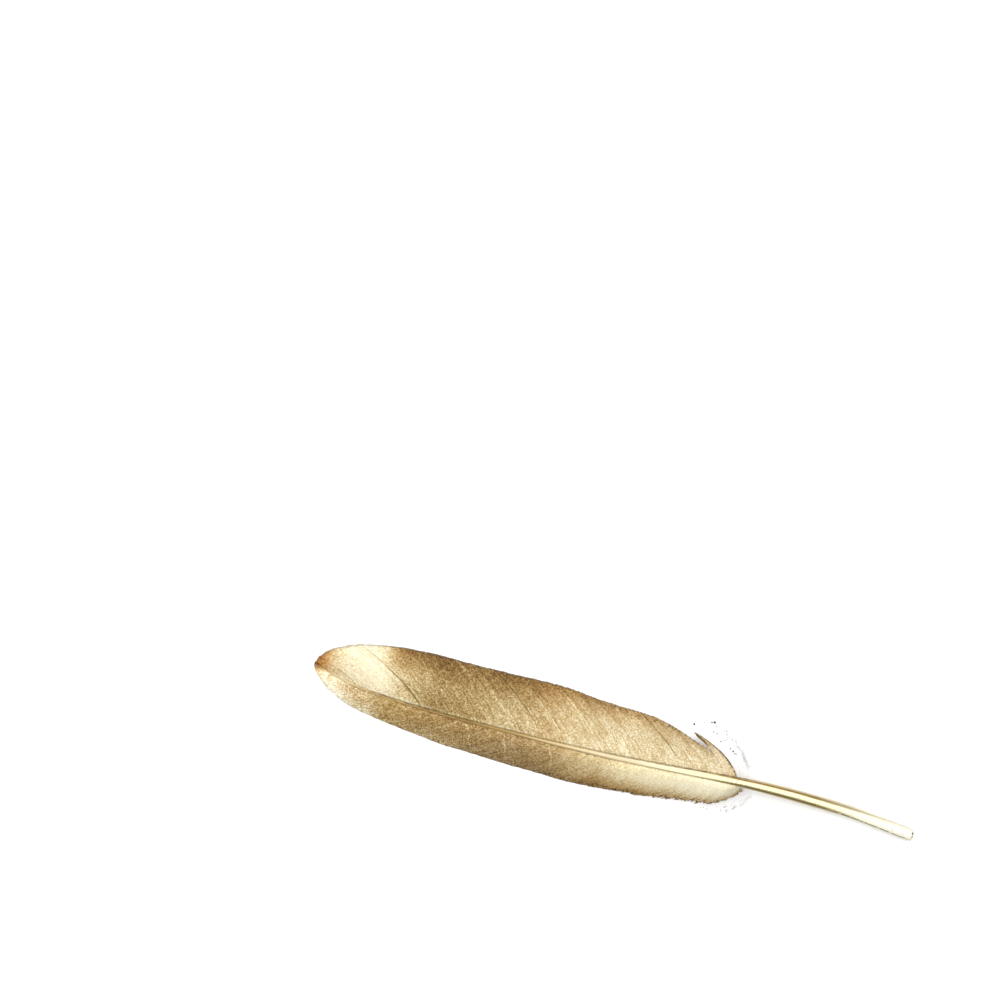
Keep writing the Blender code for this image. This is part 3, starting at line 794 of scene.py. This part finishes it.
narrow_gold = vane_material(
    "gilded_narrow_vane",
    coat_and_painted_light_stops=((0, 0.3), (3, 0.68), (7, 0.68), (12, 0.57), (18, 0.57), (24, 0.37), (37, 0.41), (46, 0.30),
                (57, 0.38), (69, 0.41), (80, 0.61), (91, 0.745), (103, 0.79), (114, 0.87), (125, 0.89)),
    painted_shade_outwards_stops=((0, -0.1), (9, -0.2), (16, -0.26), (24, -0.2), (32, -0.14), (45, -0.16), (57, 0.0),
                 (69, 0.1), (80, 0.35), (92, 0.55), (104, 0.48), (124, 0.4)),
    painted_light_beside_rachis_stops=((3, 0.0), (8, -0.08), (16, -0.1), (26, -0.15), (38, -0.09), (48, -0.03), (60, 0.0),
                (74, -0.02), (84, -0.08), (92, -0.07), (124, -0.04)),
    rim_stops=((0, 0.5), (6, 0.2), (30, 0.3), (45, 0.7), (72, 0.9), (124, 0.95)),
    speck_stops=((44, 0.0), (52, 0.4), (72, 0.8), (80, 1.0), (125, 1.0)),
    grain_stops=((0, 0.2), (5, 0.22), (12, 0.34), (40, 0.5), (60, 0.44), (72, 0.38), (85, 0.26), (98, 0.17),
                 (125, 0.15)),
    streak_stops=((0, 0.6), (8, 0.6), (16, 1.0), (78, 1.0), (90, 0.6), (98, 0.35), (125, 0.3)),
    tint_stops=((0, (1.1, 0.88, 0.72)), (3, (1.02, 0.98, 0.95)), (7, (1.0, 1.01, 1.10)),
                (18, (1.0, 1.02, 1.06)), (24, (1.0, 0.99, 0.88)), (34, (1.0, 0.98, 0.93)),
                (46, (1.0, 0.98, 0.95)), (60, (1.0, 1.0, 1.06)), (80, (1.02, 1.0, 0.95)),
                (95, (1.04, 1.0, 0.93)), (104, (1.02, 1.0, 0.96)), (125, (1.02, 1.01, 1.02))),
    brown_stops=((70, 0.0), (84, 0.3), (125, 0.3)),
    extra_lines=[bend_line(*bend) for bend in narrow_bends])
narrow = vane("narrow_vane_barbs", narrow_barbs, narrow_edge_lift, narrow_reach, narrow_partings,
              narrow_crease_shading, narrow_fray, narrow_gold, 12)
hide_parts("narrow_vane")

# The down
# Wisps of soft barbs grow below both vanes and curl round them. The paint hardly reached them, so they stay
# pale, apart from specks of it that dried on their fine side strands; their grey is partly painted shade.
down_bulge = ((120, 0.27), (130, 0.27))
broad_down_barbs = ((124.4, 109.0, 14.0), (124.9, 112.0, 15.4), (125.4, 116.6, 14.4), (125.9, 121.2, 11.4),
                    (126.4, 124.8, 7.6))
narrow_down_barbs = ((128.4, 127.2, -5.2), (128.0, 124.5, -7.6), (127.6, 120.5, -9.2), (127.2, 116.0, -9.6))
broad_down_lift = ((108, 0.5), (125, 1.8))
narrow_down_lift = ((116, 0.5), (128, 1.6))
strand_rows = 22
strand_radius = 0.032 * MM
strand_turns = (0, 4.189, 2.094)  # a strand's three sides in radians, in the order that turns its faces out
strand_sink = 0.15 * MM  # the down lies this much below the vanes' own curve
strand_wave_up, strand_wave_aside = 0.12 * MM, 0.16 * MM
side_strand_radius = 0.022 * MM
side_strand_length = 1.8 * MM
side_strand_rows = 5
side_strands = 56  # on each strand
bead_chance, bead_chance_gain = 0.07, 0.12  # on a side strand near the shaft, and how much more further out
hanging_rows, hanging_sag = 6, 0.15 * MM
bead_radius = 0.13 * MM
# Bigger beads that hang on strands of their own: station, side and radius
broad_down_beads = ((113.6, 15.2, 0.46), (112.9, 15.0, 0.28), (108.2, 13.1, 0.38), (113.9, 12.5, 0.25),
                    (115.0, 12.4, 0.24), (116.6, 10.6, 0.28), (119.7, 9.4, 0.25), (120.6, 8.9, 0.32),
                    (121.2, 8.4, 0.26), (110.9, 14.3, 0.16), (118.2, 11.6, 0.15))
narrow_down_beads = ((122.0, -8.1, 0.18), (125.2, -6.9, 0.16), (118.0, -8.9, 0.16))


def strand(path, radius):
    """Points of a three-sided tube along a path that thins to its end."""
    ahead = np.gradient(path, axis=0)
    ahead /= np.linalg.norm(ahead, axis=1, keepdims=True)
    sideways = np.cross(ahead, (0, 0, 1))
    sideways /= np.linalg.norm(sideways, axis=1, keepdims=True)
    upright = np.cross(sideways, ahead)
    thin = radius * np.linspace(1, 0.6, len(path))[:, None]
    ring = [path + thin * (sideways * math.cos(a) + upright * math.sin(a)) for a in strand_turns]
    return np.stack(ring, axis=1)


def down_material():
    material, tree, shader = new_material("down", 0.0, 0.85)
    soft = noise_in_space(tree, scale=300.0, detail=3.0)
    # Grey of the down: its pale colour, partly darkened as painted shade on the fine strands
    pale = ramp(tree, soft, ((0.35, (0.30, 0.29, 0.29)), (0.65, (0.60, 0.58, 0.57))))
    colour = blend_colours(tree, mark(tree, "bead"), pale, (0.07, 0.045, 0.03, 1))
    rough = ramp(tree, soft, ((0.3, 0.9), (0.7, 0.7)))
    finish_with(tree, shader, colour, rough, soft, 0.01 * MM, 0.3)
    return material


# A small eight-sided bead
bead_corners = np.array([(1, 0, 0), (0, 1, 0), (-1, 0, 0), (0, -1, 0), (0, 0, 0.8), (0, 0, -0.8)])
bead_faces = [(0, 1, 4), (1, 2, 4), (2, 3, 4), (3, 0, 4), (1, 0, 5), (2, 1, 5), (3, 2, 5), (0, 3, 5)]


def down_tuft(name, barbs, lift, node, material, strands, beads, seed):
    """One mesh of curling strands with finer ones along both sides, and beads of paint dried on some."""
    draw = np.random.default_rng(seed)
    low, high = sorted((barbs[0][0] * MM, barbs[-1][0] * MM))
    roots = np.linspace(low, high, strands)
    share = np.linspace(0, 1, strand_rows)
    lines = barb_lines(sorted(barbs, reverse=True), roots, share, down_bulge)
    height = drooping(roots, lines[:, -1, 0], lift, share[None]) - strand_sink
    wave = np.sin(share[None] * draw.uniform(5, 11, (strands, 1)) + draw.uniform(0, 6.3, (strands, 1)))
    height += wave * strand_wave_up * share[None]
    middle = place(lines[..., 0], lines[..., 1] + strand_wave_aside * wave * share[None], height)
    points, faces, marks, first = [], [], [], 0

    def take(new_points, new_faces, is_bead):
        nonlocal first
        points.append(new_points.reshape(-1, 3))
        marks.append(np.full(len(points[-1]), is_bead))
        faces.extend(tuple(i + first for i in face) for face in new_faces)
        first += len(points[-1])

    for path in middle:
        take(strand(path, strand_radius), tube_faces(len(path), 3), 0.0)
        for _ in range(side_strands):
            spot = len(path) * draw.uniform(0.1, 1) ** 0.45 - 1.01
            i = int(spot)
            start = path[i] + (path[i + 1] - path[i]) * (spot - i)
            ahead = path[i + 1] - path[i]
            ahead /= np.linalg.norm(ahead)
            out = np.array((-ahead[1], ahead[0], 0)) * draw.choice((-1, 1))
            t = np.linspace(0, 1, side_strand_rows)[:, None]
            reach = side_strand_length * draw.uniform(0.5, 1) * (1 - 0.5 * spot / len(path))
            bend = ahead * t * reach * 0.8 + out * np.sqrt(t) * reach * 0.5
            side_path = start + bend + np.array((0, 0, 1)) * (t ** 2) * draw.normal(0, 0.12) * MM
            take(strand(side_path, side_strand_radius), tube_faces(side_strand_rows, 3), 0.0)
            if draw.uniform() < bead_chance + bead_chance_gain * (spot / len(path)) ** 2:
                take(side_path[-2] + bead_radius * draw.uniform(0.5, 1.3) * bead_corners, bead_faces, 1.0)
    for station, side, radius in beads:
        spot = place(station * MM, side * MM, 0)
        away = np.linalg.norm((middle - spot)[..., :2].reshape(-1, 2), axis=1)
        nearest = middle.reshape(-1, 3)[np.argmin(away)]
        t = np.linspace(0, 1, hanging_rows)[:, None]
        spot[2] = nearest[2]
        hanging = nearest + (spot - nearest) * t + hanging_sag * np.sin(math.pi * t) * np.array((1, 1, 0))
        take(strand(hanging, side_strand_radius), tube_faces(hanging_rows, 3), 0.0)
        take(spot + radius * MM * bead_corners, bead_faces, 1.0)
    piece = new_piece(name, np.concatenate(points), faces, material,
                      {"bead": np.concatenate(marks)})
    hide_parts(node)


down = down_material()
down_tuft("broad_side_down_strands", broad_down_barbs, broad_down_lift, "broad_side_down", down, 8,
          broad_down_beads, 21)
down_tuft("narrow_side_down_strands", narrow_down_barbs, narrow_down_lift, "narrow_side_down", down, 5,
          narrow_down_beads, 22)

# The table and the light
# The feather lies on a plain pale table under a broad soft light overhead, with a stronger soft light beyond
# its broad side. The camera looks straight down.
frame_width = 282.3 * MM  # what the picture takes in
lens, sensor = 85.0, 36.0
vane_height = 3 * MM  # the camera's distance is measured from here
table_size = 3.0
view_turn = math.radians(16.01)
view_centre = (-50.2 * MM, 57.6 * MM)

bpy.ops.mesh.primitive_plane_add(size=table_size)
floor = bpy.context.object
floor.name = "table"
floor_material, _, floor_shader = new_material("table_white", 0.0, 0.8)
floor_shader.inputs["Base Color"].default_value = (0.84, 0.832, 0.82, 1)
floor.data.materials.append(floor_material)


def soft_light(name, place_at, aim, size, radiance):
    """A square area light of this size that looks equally bright from everywhere."""
    data = bpy.data.lights.new(name, "AREA")
    data.size = size
    data.energy = radiance * math.pi * size * size
    lamp = bpy.data.objects.new(name, data)
    lamp.location = place_at
    direction = np.array(aim) - np.array(place_at)
    lamp.rotation_euler = Vector(direction).to_track_quat("-Z", "Y").to_euler()
    lamp.visible_camera = False
    bpy.context.scene.collection.objects.link(lamp)


soft_light("overhead_softbox", (0.0, 0.12, 1.1), (0, 0, 0), 2.2, 2.4)
soft_light("far_side_softbox", (-0.5, 0.9, 1.0), (0, 0, 0), 0.7, 5.0)

world = bpy.data.worlds.new("studio")
world.use_nodes = True
world.node_tree.nodes["Background"].inputs["Color"].default_value = (0.95, 0.96, 1.0, 1)
world.node_tree.nodes["Background"].inputs["Strength"].default_value = 0.2
bpy.context.scene.world = world
bpy.context.scene.view_settings.view_transform = "Standard"

camera_data = bpy.data.cameras.new("camera")
camera_data.lens, camera_data.sensor_width = lens, sensor
camera = bpy.data.objects.new("camera", camera_data)
camera.location = (*view_centre, frame_width * lens / sensor + vane_height)
camera.rotation_euler = (0, 0, view_turn)
bpy.context.scene.collection.objects.link(camera)
bpy.context.scene.camera = camera
